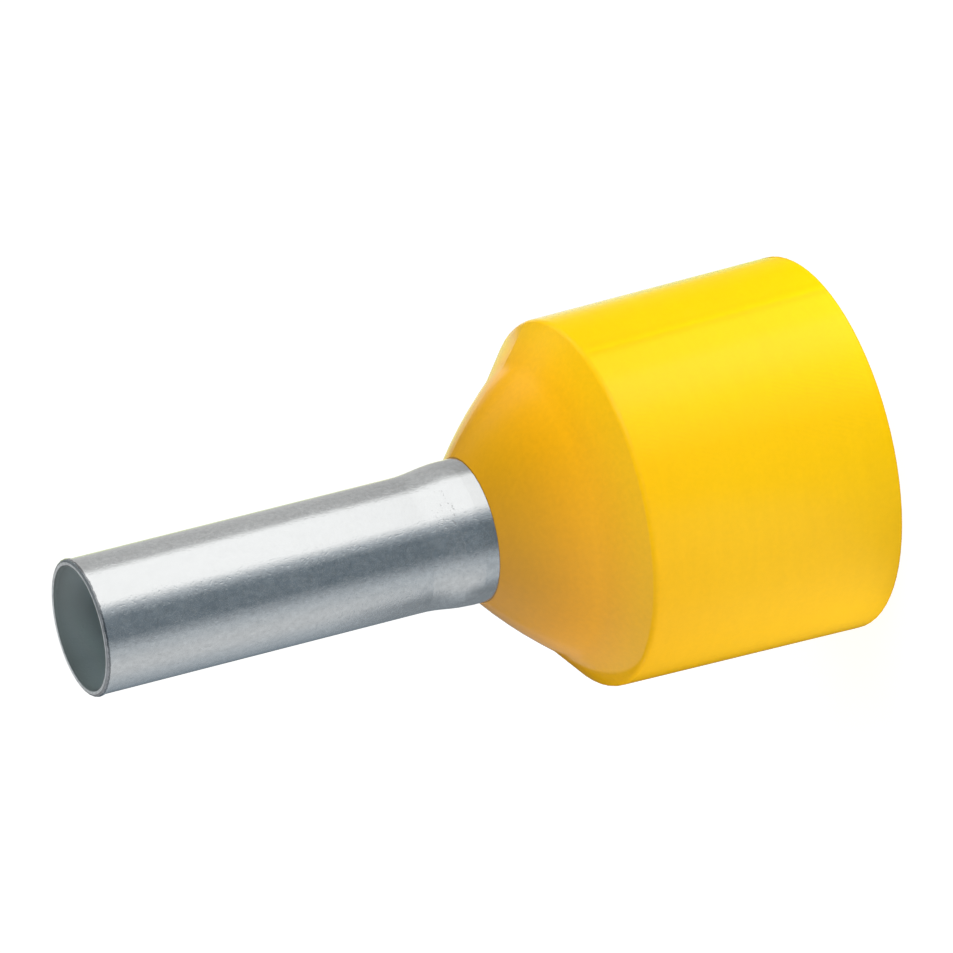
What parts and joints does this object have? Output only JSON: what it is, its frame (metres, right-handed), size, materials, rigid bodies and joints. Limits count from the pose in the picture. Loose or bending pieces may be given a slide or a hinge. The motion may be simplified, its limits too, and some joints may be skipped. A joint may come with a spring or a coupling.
{
  "type": "wire ferrule",
  "caption": "Insulated wire ferrule: a thin tinned tube with a small step and a flared end, held in a wide round yellow plastic collar with a cone nose.",
  "frame": {"origin": "centre of the collar's open mouth, on the face that it stands on", "axes": "+Z along the ferrule's axis, from the collar's mouth to the tip of the metal sleeve; the part is round, so +X and +Y are any two square directions"},
  "size_m": [0.011, 0.011, 0.023],
  "materials": {
    "tinned_copper": "satin",
    "yellow_plastic": "satin"
  },
  "bodies": {
    "root": {"metal_sleeve": "tinned_copper", "insulating_collar": "yellow_plastic"}
  },
  "joints": []
}
